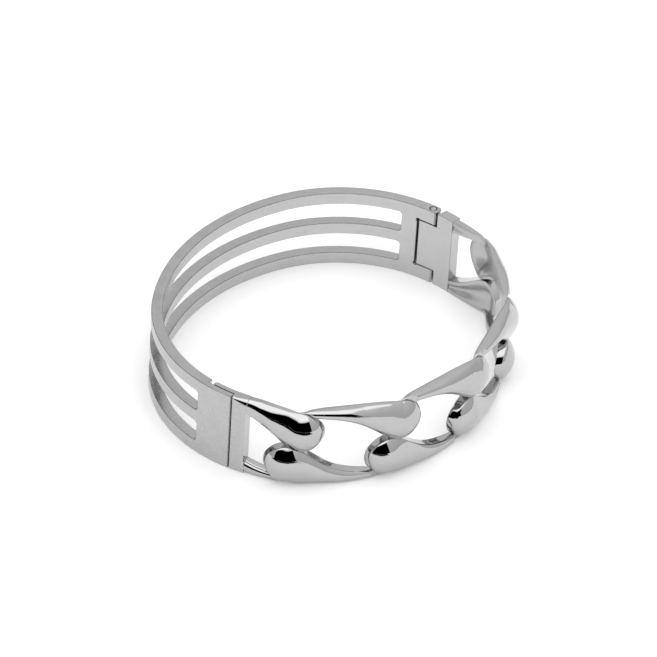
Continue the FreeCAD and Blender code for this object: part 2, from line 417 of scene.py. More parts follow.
# ---- mesh building -------------------------------------------------------------------
def add_object(name: str, data: bpy.types.ID) -> Object:
    """New object of a mesh or a camera, linked to the scene.

    Args:
        name: Name of the object.
        data: Its mesh or camera.

    Returns:
        The object.
    """
    made = bpy.data.objects.new(name, data)
    bpy.context.scene.collection.objects.link(made)
    return made


def grid_faces(rows: int, columns: int, first: int = 0) -> np.ndarray:
    """Quads of an open grid whose points are stored row by row.

    Args:
        rows: Number of rows.
        columns: Points in a row.
        first: Number of the grid's first point.

    Returns:
        Four point numbers for each quad.
    """
    index = np.arange(rows * columns).reshape(rows, columns) + first
    corners = [index[:-1, :-1], index[1:, :-1], index[1:, 1:], index[:-1, 1:]]
    return np.stack(corners, axis=-1).reshape(-1, 4)


def make_piece(name: str, points: np.ndarray, faces: list[list[int]]) -> Object:
    """Closed smooth mesh object from grids whose borders touch.

    Args:
        name: Name of the piece.
        points: Points in millimetres, one row each.
        faces: Point numbers of each face.

    Returns:
        The object, at the origin, with doubles merged and faces outwards.
    """
    mesh = bpy.data.meshes.new(name)
    mesh.from_pydata((points * MM).tolist(), [], faces)
    work = bmesh.new()
    work.from_mesh(mesh)
    bmesh.ops.remove_doubles(work, verts=work.verts, dist=SAME_POINT)
    bmesh.ops.dissolve_degenerate(work, edges=work.edges, dist=NO_LENGTH)
    bmesh.ops.recalc_face_normals(work, faces=work.faces)
    work.to_mesh(mesh)
    work.free()
    mesh.shade_smooth()
    return add_object(name, mesh)


def place_piece(piece: Object, body: str, node: str) -> None:
    """Hands a finished piece to the frame.

    Args:
        piece: The piece.
        body: Body that carries it.
        node: CAD node that it stands for.
    """
    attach(piece, body)
    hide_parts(node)
    LOG.info("%s: %d points", piece.name, len(piece.data.vertices))


@dataclass
class LinkChain:
    """The ten links and the two stub rails of the front half."""

    layout: ChainLayout = field(default_factory=ChainLayout)
    form: LinkForm = field(default_factory=LinkForm)
    wall: float = 1.9
    plane_rounds: int = 5
    body: str = "front_half"
    slot: str = "polished_steel"

    def to_world(self, index: int, x: np.ndarray, y: np.ndarray, z: np.ndarray) -> np.ndarray:
        """Points of a link frame placed in the row frame.

        Args:
            index: Crossing that holds the link's head.
            x: Places along the link.
            y: Distances inwards.
            z: Heights.

        Returns:
            Points with a last axis of three.
        """
        axes, origin = self.layout.axes(index), self.layout.crossing(index)
        flat = np.stack([x, y], axis=-1) @ axes.T + origin
        return np.concatenate([flat, z[..., None]], axis=-1)

    def plane_place(self, index: int, side: int, y: np.ndarray) -> np.ndarray:
        """Place along a link where it meets a plate: the plane's line solved for x.

        Args:
            index: Crossing that holds the link's head.
            side: +1 at the hinge, -1 at the clasp.
            y: Distances inwards.

        Returns:
            The place for each distance.
        """
        point, away = self.layout.plate_plane(side)
        axes = self.layout.axes(index)
        start = (point - self.layout.crossing(index)) @ axes
        normal = away @ axes
        return start[0] - normal[1] / normal[0] * (y - start[1])

    def plate_section(self, index: int, side: int) -> tuple[float, ...]:
        """Centre height, half height, depth and crown rise of a link where it meets a plate."""
        place = np.array([self.plane_place(index, side, np.zeros(1))[0]])
        return tuple(float(a[0]) for a in self.form.sizes(place, self.layout.length(index)))

    def tail_sizes(
        self, length: float, x: np.ndarray, start: Numbers, is_falling: bool, on_plate: tuple[bool, bool]
    ) -> tuple[Numbers, ...]:
        """Section sizes of one side of a tail, with the marks of its neighbours on them.

        A tip behind a head is lowered, the falling side takes its own crown, and the side
        towards the other row changes to the head's flatter crown and grows its skirt.

        Args:
            length: Link length.
            x: Places along the link.
            start: Places of the tip.
            is_falling: The side's edge falls away at the band's top or bottom.
            on_plate: Whether the link starts on the clasp plate and ends on the hinge plate.

        Returns:
            Centre height, half height, full depth, crown rise, crown power and skirt.
        """
        form, (from_plate, to_plate) = self.form, on_plate
        centre, half, depth, rise = form.sizes(x, length)
        if not from_plate:
            fade = 1.0 - smooth_step((x - start) / form.tip_drop_run)
            centre, half = (a - 0.5 * form.tip_drop * fade for a in (centre, half))
        if is_falling:
            rise, power = form.falling_side(x, length, half, depth, rise)
            return centre, half, depth, rise, power, 0.0
        run = form.mid_run * length
        toward_head = smooth_step((x + run) / run) * (not to_plate)
        power = form.crown_power + (form.mid_power - form.crown_power) * toward_head
        rise = rise * (1.0 + (form.mid_rise / form.crown_rise - 1.0) * toward_head)
        reach = (x + form.skirt_start * length) / (form.skirt_run * length)
        skirt = form.skirt * smooth_step(reach) * (not to_plate)
        if from_plate:
            rise = rise * smooth_step((x - start) / form.flow_length)
        return centre, half, depth, rise, power, skirt

    def tail_points(self, index: int, from_plate: bool, to_plate: bool) -> np.ndarray:
        """Grid of the tail, one closed outline per row.

        Each row is one place along the link; where the link ends on a plate the
        row's place depends on the depth too, found by repeating the section sizes.

        Args:
            index: Crossing that holds the link's head.
            from_plate: The tail starts on the clasp plate.
            to_plate: The link ends on the hinge plate.

        Returns:
            Rows by outline points by three, in the row frame.
        """
        form, length = self.form, self.layout.length(index)
        share = np.linspace(0.0, 1.0, form.tail_rows)[:, None]
        on_plate = (from_plate, to_plate)
        sides = []
        for is_upper in (True, False):
            is_falling = is_upper is not to_plate
            y = np.zeros((form.tail_rows, 1))
            for _ in range(self.plane_rounds):
                start = self.plane_place(index, -1, y) if from_plate else form.tail_start - length
                end = self.plane_place(index, 1, y) if to_plate else form.head_lead
                x = start + share * (end - start)
                section = self.tail_sizes(length, x, start, is_falling, on_plate)
                centre, half, depth, rise, power, skirt = section
                sizes = (half, depth - rise, rise, power, skirt)
                means = [np.broadcast_to(a, half.shape).mean(-1) for a in sizes]
                profile, y = form.half_profile(*means)
                y = y + form.bend(x[:, :1])
                if from_plate or to_plate:
                    y = self.flow_into_plate(index, 1 if to_plate else -1, x, y, depth)
            z = centre + half * profile * (1.0 if is_upper else -1.0)
            sides.append(self.to_world(index, *np.broadcast_arrays(x, y, z)))
        return np.concatenate([sides[0], sides[1][:, ::-1][:, 1:]], axis=1)

    def flow_into_plate(
        self, index: int, side: int, x: np.ndarray, y: np.ndarray, depth: np.ndarray
    ) -> np.ndarray:
        """Depths near a plate, eased so that front and back run flush into the plate's faces.

        Args:
            index: Crossing that holds the link's head.
            side: +1 at the hinge, -1 at the clasp.
            x: Places along the link.
            y: Distances inwards.
            depth: Full depth of each section.

        Returns:
            The eased distances inwards.
        """
        oval, axes = self.layout.oval, self.layout.axes(index)
        middle = np.array([side * oval.end_centre, 0.0])
        centre = (middle - self.layout.crossing(index)) @ axes
        reach = (x - centre[0]) ** 2
        front = centre[1] - np.sqrt(oval.end_radius**2 - reach)
        back = centre[1] - np.sqrt((oval.end_radius - self.wall) ** 2 - reach)
        edge = self.plane_place(index, side, np.zeros(1))[0]
        weight = 1.0 - smooth_step(np.abs(x - edge) / self.form.flow_length)
        flush = back + y * (back - front) / depth
        return y + weight * (flush - y)

    def head_points(self, index: int) -> np.ndarray:
        """Grid of the head's round end: the half outline turned about the head's middle.

        Args:
            index: Crossing that holds the head.

        Returns:
            Rows by outline points by three, in the row frame.
        """
        form = self.form
        turn = np.linspace(np.pi / 2, -np.pi / 2, form.head_rows)[:, None]
        skirt = form.skirt * smooth_step((np.pi / 2 - turn[:, 0]) / form.skirt_turn)
        toward_mid = smooth_step(-2.0 * turn[:, 0] / np.pi)
        power = form.crown_power + (form.mid_power - form.crown_power) * toward_mid
        power = power - form.nose_round * np.cos(turn[:, 0]) ** form.nose_power
        rise = form.crown_rise + (form.mid_rise - form.crown_rise) * toward_mid
        half = np.full_like(rise, form.head_half_height)
        share, depth = form.half_profile(half, form.head_depth - rise, rise, power, skirt)
        x = form.head_lead + form.head_half_length * share * np.cos(turn)
        z = form.head_centre + form.head_half_height * share * np.sin(turn)
        return self.to_world(index, x, depth + form.bend(x), z)

    def clear_of_head(self, index: int, points: np.ndarray) -> np.ndarray:
        """Tail points moved inwards off the back of the head before it.

        Within the emerging place, a point outside that back is laid on it; past that
        place the limit falls away along a smooth ramp.  The tail's own back thins out
        towards its tip by a soft minimum, so that it runs into the head's back.

        Args:
            index: Crossing that holds the link's head.
            points: Points in the row frame.

        Returns:
            The moved points.
        """
        form = self.form
        axes, origin = self.layout.axes(index - 1), self.layout.crossing(index - 1)
        local = (points[..., :2] - origin) @ axes
        x, y = local[..., 0], local[..., 1]
        bend = form.bend(x)
        limit = bend - form.clear_fall * smooth_step((x - form.emerge) / form.clear_run)
        y = np.where(x < form.emerge + form.clear_run, np.maximum(y, limit), y)
        thick = form.tip_proud + form.tip_thick * smooth_step((x - form.tail_start) / form.tip_fade)
        spare = bend + thick - y
        y = y + 0.5 * (spare - np.sqrt(spare**2 + form.tip_blend**2))
        moved = points.copy()
        moved[..., :2] = np.stack([x, y], axis=-1) @ axes.T + origin
        return moved

    def above_solder(self, index: int, points: np.ndarray) -> np.ndarray:
        """Points raised onto the sloping soldered face between the two heads.

        Args:
            index: Crossing that holds the link's head.
            points: Points in the row frame.

        Returns:
            The raised points.
        """
        angle = self.layout.crossing_angle(index)
        tangent = np.array([-math.sin(angle), math.cos(angle)])
        run = (points[..., :2] - self.layout.crossing(index)) @ tangent
        floor = self.form.middle - math.tan(self.form.crossing_slope) * run
        z = points[..., 2]
        raised = points.copy()
        raised[..., 2] = np.where(np.abs(run) < self.form.solder_reach, np.maximum(z, floor), z)
        return raised

    def build(self, name: str, index: int, row: Row) -> Object:
        """One link or stub rail.

        Args:
            name: Name of the CAD node that the piece stands for.
            index: Crossing that holds the head, or link_pairs + 1 for a stub rail.
            row: Row of the piece; the lower row is the upper one turned half round.

        Returns:
            The finished piece.
        """
        is_rail = index > self.layout.link_pairs
        tail = self.tail_points(index, index == 1, is_rail)
        if index > 1:
            tail = self.clear_of_head(index, tail)
        caps = [np.broadcast_to(tail[i].mean(axis=0), tail[i].shape)[None] for i in (0, -1)]
        grids = [np.concatenate([caps[0], tail, caps[1]] if is_rail else [caps[0], tail])]
        if not is_rail:
            grids.append(self.head_points(index))
        points, faces, count = [], [], 0
        for grid in grids:
            rows, columns = grid.shape[:2]
            points.append(grid.reshape(-1, 3))
            faces.append(grid_faces(rows, columns, count))
            count += rows * columns
        cloud = np.concatenate(points)
        if not is_rail:
            cloud = self.above_solder(index, cloud)
        if row is Row.LOWER:
            cloud = cloud * [-1.0, 1.0, -1.0] + [0.0, 0.0, self.form.band_height]
        return make_piece(name + "_cast", cloud, np.concatenate(faces).tolist())

    def make(self, material: Material) -> None:
        """Builds, dresses and places every link and rail.

        Args:
            material: Finish of the chain.
        """
        pairs = self.layout.link_pairs
        plan = [(f"upper_link_{i}", i, Row.UPPER) for i in range(1, pairs + 1)]
        plan += [(f"lower_link_{pairs + 1 - i}", i, Row.LOWER) for i in range(1, pairs + 1)]
        plan.append(("hinge_stub_rail", pairs + 1, Row.UPPER))
        plan.append(("clasp_stub_rail", pairs + 1, Row.LOWER))
        for node, index, row in plan:
            piece = self.build(node, index, row)
            piece.data.materials.append(material)
            place_piece(piece, self.body, node)


@dataclass
class ClaspPlate:
    """End plate at the clasp, with a lap tongue.  Its top edge falls away into the first link."""

    chain: LinkChain
    seam_y: float = -2.35
    tongue_tip_y: float = 2.1
    tongue_offset: float = -1.12
    tongue_bevel: float = 0.35
    step_reach: float = 0.13
    step_depth: float = 0.3
    step_dip: float = 0.1
    edge_round: float = 0.12
    seam_fall: float = 0.12
    fall_power: float = 0.8
    wall_slant: float = 0.12
    slant_power: float = 6.0
    window_margin: float = 0.12
    window_step: float = 0.03
    polished_depth: float = 0.1
    polish_start: float = 0.6
    fine_height: float = 2.4
    body_rows: int = 36
    fine_rows: int = 48
    corner_points: int = 5
    face_points: int = 60
    tongue_points: int = 14
    smooth_angle: float = math.radians(32.0)
    slot: str = "satin_steel"

    @property
    def oval(self) -> OvalForm:
        """Outline that the plate follows."""
        return self.chain.layout.oval

    @property
    def seam(self) -> float:
        """Normal angle at the visible seam."""
        return self.angle_at(self.seam_y)

    @property
    def end(self) -> float:
        """Normal angle at the first link."""
        return self.oval.front_angle(-self.chain.layout.chain_end)

    def angle_at(self, y: float) -> float:
        """Normal angle of the clasp's end arc at a Y of the row frame."""
        return -math.pi - math.asin(y / self.oval.end_radius)

    def toward_link(self, angle: np.ndarray) -> np.ndarray:
        """Share of the way from the seam to the first link."""
        return np.clip((angle - self.seam) / (self.end - self.seam), 0.0, 1.0)

    def window(self) -> tuple[float, float]:
        """Height of the first window beside the plate.

        Returns:
            Lowest and highest level.
        """
        pairs, height = self.chain.layout.link_pairs, self.chain.form.band_height
        centre, half, _, _ = self.chain.plate_section(1, -1)
        rail_centre, rail_half, _, _ = self.chain.plate_section(pairs + 1, 1)
        low = height - (rail_centre - rail_half) + self.window_margin
        return low, centre - half - self.window_margin

    def levels(self) -> np.ndarray:
        """Rows of the plate: rounded at the foot, even between, dense under the top edge.

        Returns:
            Levels from the foot to the top.
        """
        height, fine, step = self.chain.form.band_height, self.fine_height, self.window_step
        foot = self.edge_round * (1.0 - np.cos(np.linspace(0.0, np.pi / 2, self.corner_points)))
        body = np.linspace(self.edge_round, height - fine, self.body_rows)
        top = height - fine * np.cos(np.linspace(0.0, np.pi / 2, self.fine_rows))
        low, high = self.window()
        rows = [foot, body, top, [low - step, low + step, high - step, high + step]]
        return np.unique(np.round(np.concatenate(rows), 6))

    def outline(self) -> np.ndarray:
        """Points of the level outline, from the tongue's tip round the outside and back.

        Returns:
            Rows of normal angle, offset from the oval, and a flag that is 1 on the outer
            face beyond the seam.
        """
        radius, seam, end = self.oval.end_radius, self.seam, self.end
        tip, inner = self.angle_at(self.tongue_tip_y), -self.chain.wall
        bow = np.linspace(0.0, np.pi / 2, self.corner_points)[::-1]
        turn, drop = (self.edge_round * (1.0 - wave) for wave in (np.sin(bow), np.cos(bow)))
        step = seam - self.step_reach / radius
        round_end = seam + self.edge_round / radius
        bevel = tip + self.tongue_bevel / radius
        floor = [self.tongue_offset, -self.step_depth - self.step_dip, -self.step_depth]
        stretches = [
            (np.linspace(tip, seam, self.tongue_points)[:-1], self.tongue_offset, 0.0),
            ([step, step, seam], floor, 0.0),
            (seam + turn / radius, -drop, 1.0),
            (np.linspace(round_end, end, self.face_points)[1:], 0.0, 1.0),
            (np.linspace(end, bevel, self.face_points), inner, 0.0),
            ([tip], inner + self.tongue_bevel, 0.0),
        ]
        return np.concatenate([np.column_stack(np.broadcast_arrays(*part)) for part in stretches])

    def surface(self, fall: float) -> np.ndarray:
        """Grid of the plate's side: the outline at every level.

        The top of the outer face falls back by the same curve as the first link's edge,
        from nearly nothing at the seam; the wall of the window slants inwards.

        Args:
            fall: How far the edge falls back at the first link.

        Returns:
            Levels by outline points by three, in the row frame.
        """
        form, radius = self.chain.form, self.oval.end_radius
        angle, offset, outer = self.outline().T
        z = self.levels()[:, None]
        grow = self.toward_link(angle)
        half = self.chain.plate_section(1, -1)[1]
        tall = self.seam_fall + (half - self.seam_fall) * grow**self.fall_power
        deep = self.seam_fall + (fall - self.seam_fall) * grow**self.fall_power
        level = np.clip((z - form.band_height + tall) / tall, 0.0, 1.0)
        back = deep * (1.0 - (1.0 - level**2) ** form.edge_power) * outer
        foot = np.clip(1.0 - z / self.edge_round, 0.0, 1.0)
        back = back + self.edge_round * (1.0 - np.sqrt(np.clip(1.0 - foot**2, 0.0, 1.0))) * outer
        low, high = self.window()
        in_window = ((z > low) & (z < high)).astype(float)
        turn = angle - self.wall_slant / radius * in_window * outer * grow**self.slant_power
        reach = radius + offset - back
        x, y = -self.oval.end_centre + reach * np.cos(turn), reach * np.sin(turn)
        return np.stack(np.broadcast_arrays(x, y, z), axis=-1)

    def mark_polish(self, piece: Object) -> None:
        """Writes the polish attribute: one where the top edge falls away, none on the flat face.

        Args:
            piece: The plate.
        """
        points = np.empty(len(piece.data.vertices) * 3)
        piece.data.vertices.foreach_get("co", points)
        points = points.reshape(-1, 3) / MM
        x, y = points[:, 0] + self.oval.end_centre, points[:, 1]
        angle = np.arctan2(y, x)
        grow = self.toward_link(np.where(angle > 0.0, angle - 2.0 * math.pi, angle))
        back = self.oval.end_radius - np.hypot(x, y)
        is_high = points[:, 2] > self.chain.form.middle
        fallen = smooth_step(back / self.polished_depth) * is_high * (grow > 0.0)
        near_link = smooth_step((grow - self.polish_start) / (1.0 - self.polish_start))
        attribute = piece.data.attributes.new("polish", "FLOAT", "POINT")
        attribute.data.foreach_set("value", np.maximum(fallen, near_link))

    def build(self) -> Object:
        """Plate as level outlines stacked by height, closed by one face at each end.

        Returns:
            The plate with its polish attribute.
        """
        _, half, depth, rise = self.chain.plate_section(1, -1)
        sizes = (np.array([a]) for a in (half, depth, rise))
        start = self.chain.plane_place(1, -1, np.zeros(1))
        rounded, _ = self.chain.form.falling_side(start, self.chain.layout.length(1), *sizes)
        grid = self.surface(float(rounded[0]) * self.chain.wall / depth)
        rows, columns = grid.shape[:2]
        loop = np.concatenate([grid, grid[:, :1]], axis=1)
        last = (rows - 1) * (columns + 1)
        faces = grid_faces(rows, columns + 1).tolist()
        faces += [list(range(columns)), list(range(last, last + columns))]
        piece = make_piece("clasp_plate_face", loop.reshape(-1, 3), faces)
        piece.data.set_sharp_from_angle(angle=self.smooth_angle)
        self.mark_polish(piece)
        return piece

    def make(self, material: Material) -> None:
        """Builds, dresses and places the plate.

        Args:
            material: Finish of the plate, which reads the polish attribute.
        """
        piece = self.build()
        piece.data.materials.append(material)
        place_piece(piece, self.chain.body, "clasp_plate")


@dataclass(frozen=True)
class EasedPart:
    """A machined part whose corners are eased by a narrow bevel, as a file leaves them, and darkened by
    a painted shade line.
    """

    node: str
    body: str
    slot: str
    ease: float = 0.1
    steps: int = 2
    corner: float = math.radians(30.0)
    same_point: float = 0.002
    flat_angle: float = math.radians(0.3)
    flat_weight: int = 90

    def make(self, material: Material, edge: Material) -> None:
        """Builds the part from its solid's merged faces, eases its corners and places it.

        Args:
            material: Finish of the faces.
            edge: Finish of the eased corners, a darker steel that paints a shade line along them.
        """
        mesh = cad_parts[self.node].data.copy()
        work = bmesh.new()
        work.from_mesh(mesh)
        bmesh.ops.remove_doubles(work, verts=work.verts, dist=self.same_point * MM)
        bmesh.ops.dissolve_limit(work, angle_limit=self.flat_angle, verts=work.verts, edges=work.edges)
        work.to_mesh(mesh)
        work.free()
        mesh.shade_smooth()
        mesh.materials.clear()
        mesh.materials.append(material)
        mesh.materials.append(edge)
        piece = add_object(self.node + "_eased", mesh)
        bevel = piece.modifiers.new("ease", "BEVEL")
        bevel.width, bevel.segments = self.ease * MM, self.steps
        bevel.limit_method, bevel.angle_limit = "ANGLE", self.corner
        # the bevel's faces take the darker edge steel: a painted shade line along every corner
        bevel.material = 1
        bevel.use_clamp_overlap = False
        flat = piece.modifiers.new("flat", "WEIGHTED_NORMAL")
        flat.weight = self.flat_weight
        place_piece(piece, self.body, self.node)


# ---- camera and studio ---------------------------------------------------------------
@dataclass(frozen=True)
class StudioCamera:
    """Long-lens camera that looks down at the bangle, VIEW_TURN off the row frame's -Y."""

    oval_turn: float = VIEW_TURN
    elevation: float = math.radians(37.31)
    roll: float = math.radians(-3.66)
    shift_right: float = -0.299
    shift_up: float = -6.343
    distance: float = 897.6
    lens: float = 297.7
    sensor: float = 36.0
    nearest: float = 10.0
    farthest: float = 10000.0

    def make(self) -> None:
        """Adds the camera and makes it the scene's own."""
        ce, se = math.cos(self.elevation), math.sin(self.elevation)
        cr, sr = math.cos(self.roll), math.sin(self.roll)
        right = Vector((cr, -sr * se, -sr * ce))
        up = Vector((sr, cr * se, cr * ce))
        forward = Vector((0.0, ce, -se))
        place = -self.shift_right * right - self.shift_up * up - self.distance * forward
        turn = Matrix.Rotation(-self.oval_turn, 3, "Z")
        axes = Matrix((turn @ right, turn @ up, turn @ -forward)).transposed()
        data = bpy.data.cameras.new("studio_camera")
        data.sensor_width, data.lens = self.sensor, self.lens
        data.clip_start, data.clip_end = self.nearest * MM, self.farthest * MM
        camera = add_object("studio_camera", data)
        camera.matrix_world = Matrix.Translation(turn @ place * MM) @ axes.to_4x4()
        bpy.context.scene.camera = camera


# ---- node helpers --------------------------------------------------------------------
class NodeBoard:
    """Thin wrapper that adds and links shader nodes."""

    def __init__(self, tree: bpy.types.NodeTree) -> None:
        """Starts from an empty tree."""
        self.tree = tree
        tree.nodes.clear()

    def add(self, kind: str, values: dict | None = None, **settings: object) -> bpy.types.Node:
        """Adds a node.

        Args:
            kind: Blender's node type.
            values: Input values by socket name or number; a socket is linked instead.
            settings: Node attributes.

        Returns:
            The node.
        """
        node = self.tree.nodes.new(kind)
        for key, value in settings.items():
            setattr(node, key, value)
        for key, value in (values or {}).items():
            if isinstance(value, Socket):
                self.tree.links.new(value, node.inputs[key])
            else:
                node.inputs[key].default_value = value
        return node

    def math(self, operation: str, *values: float | Socket) -> Socket:
        """Output of a Math node fed by numbers or sockets."""
        return self.add("ShaderNodeMath", dict(enumerate(values)), operation=operation).outputs[0]

    def product(self, first: float | Socket, second: float | Socket) -> Socket:
        """Two numbers or sockets multiplied."""
        return self.math("MULTIPLY", first, second)

    def vector(self, operation: str, *values: tuple | Socket) -> bpy.types.Node:
        """Vector Math node fed by vectors or sockets."""
        return self.add("ShaderNodeVectorMath", dict(enumerate(values)), operation=operation)

    def ramp(
        self,
        value: Socket,
        low: float,
        high: float,
        start: float | Socket = 0.0,
        end: float | Socket = 1.0,
    ) -> Socket:
        """Smooth ramp that follows a value.

        Args:
            value: Socket that drives the ramp.
            low: Value at which the ramp starts.
            high: Value at which it ends.
            start: Result up to low.
            end: Result from high on.

        Returns:
            The result's socket.
        """
        values = {"Value": value, "From Min": low, "From Max": high, "To Min": start, "To Max": end}
        node = self.add("ShaderNodeMapRange", values, interpolation_type="SMOOTHSTEP")
        return node.outputs["Result"]

    def noise(self, place: Socket, scale: float, detail: float, roughness: float = 0.5) -> Socket:
        """Value of a fractal noise around a half."""
        values = {"Vector": place, "Scale": scale, "Detail": detail, "Roughness": roughness}
        return self.add("ShaderNodeTexNoise", values).outputs[0]


def new_material(name: str) -> tuple[Material, NodeBoard]:
    """Empty node material.

    Args:
        name: Name of the material.

    Returns:
        The material and the board of its tree.
    """
    material = bpy.data.materials.new(name)
    material.use_nodes = True
    return material, NodeBoard(material.node_tree)


@dataclass(frozen=True)
class DarkOpening:
    """Unlit front of the studio that polished steel mirrors, in degrees off the heading."""

    left: float = -52.0
    right_low: float = 37.5
    right_high: float = 31.0
    low: float = -11.0
    lean_from: float = -8.0
    high: float = 34.0
    softness: float = 1.5

    def mask(self, board: NodeBoard, azimuth: Socket, elevation: Socket) -> Socket:
        """One inside the opening, whose right edge leans inwards with height.

        Args:
            board: Board of the world's tree.
            azimuth: Degrees to the right of the heading.
            elevation: Degrees above the horizon.

        Returns:
            The mask's socket.
        """
        lean = {"Value": elevation, "From Min": self.lean_from, "From Max": self.high}
        lean.update({"To Min": self.right_low, "To Max": self.right_high})
        right = board.add("ShaderNodeMapRange", lean).outputs["Result"]
        past = board.math("SUBTRACT", azimuth, right)
        mask = board.ramp(azimuth, self.left, self.left + self.softness)
        mask = board.product(mask, board.ramp(past, 0.0, self.softness, 1.0, 0.0))
        mask = board.product(mask, board.ramp(elevation, self.low, self.low + self.softness))
        above = board.ramp(elevation, self.high, self.high + self.softness, 1.0, 0.0)
        return board.product(mask, above)


@dataclass(frozen=True)
class Studio:
    """White sweep, soft light from above and an unlit front.  Angles are in degrees."""

    heading: float = VIEW_TURN
    opening: DarkOpening = DarkOpening()
    surround: float = 0.72
    surround_high: float = 0.98
    surround_top: float = 58.0
    left_shade: float = 0.8
    shade_from: float = -110.0
    shade_to: float = -50.0
    overhead: float = 1.8
    overhead_low: float = 34.0
    overhead_full: float = 44.0
    overhead_shift: float = 24.0
    shift_heading: float = -20.0
    shift_from: float = 45.0
    shift_to: float = 85.0
    light_colour: tuple[float, ...] = (0.992, 0.992, 1.0, 1.0)
    floor_size: float = 3000.0
    floor_grey: float = 0.94
    floor_lift: float = 0.16
    front_near: float = 88.0
    front_far: float = 1000.0
    front_left: float = -1.28
    front_right: float = 0.53
    front_grey: float = 0.004
    front_height: float = 0.1

    def make_world(self) -> None:
        """World light by direction: a ramp up to the overhead light, less the opening."""
        world = bpy.data.worlds.new("studio_world")
        world.use_nodes = True
        bpy.context.scene.world = world
        board = NodeBoard(world.node_tree)
        direction = board.add("ShaderNodeTexCoord").outputs["Generated"]
        values = {"Vector": direction, "Angle": self.heading}
        turned = board.add("ShaderNodeVectorRotate", values, rotation_type="Z_AXIS")
        split = board.add("ShaderNodeSeparateXYZ", {0: turned.outputs[0]})
        ahead = board.product(split.outputs["Y"], -1.0)
        azimuth = board.math("DEGREES", board.math("ARCTAN2", split.outputs["X"], ahead))
        elevation = board.math("DEGREES", board.math("ARCSINE", split.outputs["Z"]))
        dark = self.opening.mask(board, azimuth, elevation)
        away = board.math("ABSOLUTE", board.math("SUBTRACT", azimuth, self.shift_heading))
        shift = board.ramp(away, self.shift_from, self.shift_to, 0.0, self.overhead_shift)
        walls = board.ramp(elevation, 0.0, self.surround_top, self.surround, self.surround_high)
        shade = board.ramp(azimuth, self.shade_from, self.shade_to, self.left_shade, 1.0)
        walls = board.product(walls, shade)
        raised = board.math("SUBTRACT", elevation, shift)
        above = board.ramp(raised, self.overhead_low, self.overhead_full)
        level = board.add("ShaderNodeMix", {0: above, 2: walls, 3: self.overhead}).outputs[0]
        level = board.product(level, board.math("SUBTRACT", 1.0, dark))
        seen = board.add("ShaderNodeLightPath").outputs["Is Camera Ray"]
        light = board.add("ShaderNodeBackground", {"Strength": level, "Color": self.light_colour})
        backdrop = board.add("ShaderNodeBackground", {"Color": (1, 1, 1, 1), "Strength": 1.0})
        sides = {0: seen, 1: light.outputs[0], 2: backdrop.outputs[0]}
        mixed = board.add("ShaderNodeMixShader", sides)
        board.add("ShaderNodeOutputWorld", {0: mixed.outputs[0]})

    def floor_material(self) -> Material:
        """White paper: camera and mirrored rays see it lifted to white, its shadow kept.

        Returns:
            The material.
        """
        material, board = new_material("studio_paper")
        paper = board.add("ShaderNodeBsdfDiffuse", {"Color": (self.floor_grey,) * 3 + (1,)})
        path = board.add("ShaderNodeLightPath").outputs
        seen = board.math("MAXIMUM", path["Is Glossy Ray"], path["Is Transmission Ray"])
        seen = board.product(board.math("MAXIMUM", seen, path["Is Camera Ray"]), self.floor_lift)
        lift = board.add("ShaderNodeEmission", {"Color": (1, 1, 1, 1), "Strength": seen})
        both = board.add("ShaderNodeAddShader", {0: paper.outputs[0], 1: lift.outputs[0]})
        board.add("ShaderNodeOutputMaterial", {0: both.outputs[0]})
        return material

    def front_material(self) -> Material:
        """Black cloth of the unlit front.

        Returns:
            The material.
        """
        material, board = new_material("unlit_front")
        black = board.add("ShaderNodeBsdfDiffuse", {"Color": (self.front_grey,) * 3 + (1,)})
        board.add("ShaderNodeOutputMaterial", {0: black.outputs[0]})
        return material

    def sheet(self, name: str, corners: np.ndarray, material: Material) -> Object:
        """Flat staged sheet.

        Args:
            name: Name of the sheet.
            corners: Four corners in millimetres.
            material: Its material.

        Returns:
            The sheet.
        """
        mesh = bpy.data.meshes.new(name)
        mesh.from_pydata((corners * MM).tolist(), [], [(0, 1, 2, 3)])
        mesh.materials.append(material)
        sheet = add_object(name, mesh)
        return sheet

    def make(self) -> None:
        """Adds the world, the paper and the unlit front edge of the table."""
        self.make_world()
        square = np.array([[-1, -1, 0], [1, -1, 0], [1, 1, 0], [-1, 1, 0]])
        self.sheet("paper_floor", square * self.floor_size / 2.0, self.floor_material())
        near, far = self.front_near, self.front_far
        across = np.array([self.front_left * near, self.front_right * near])
        across = np.concatenate([across, across[::-1] * far / near])
        cos, sin = math.cos(self.heading), math.sin(self.heading)
        ahead = np.array([-near, -near, -far, -far])
        flat = np.column_stack([across, ahead]) @ np.array([[cos, -sin], [sin, cos]])
        corners = np.column_stack([flat, np.full(4, self.front_height)])
        front = self.sheet("unlit_table_front", corners, self.front_material())
        front.visible_camera = False
        front.visible_diffuse = False
        front.visible_shadow = False


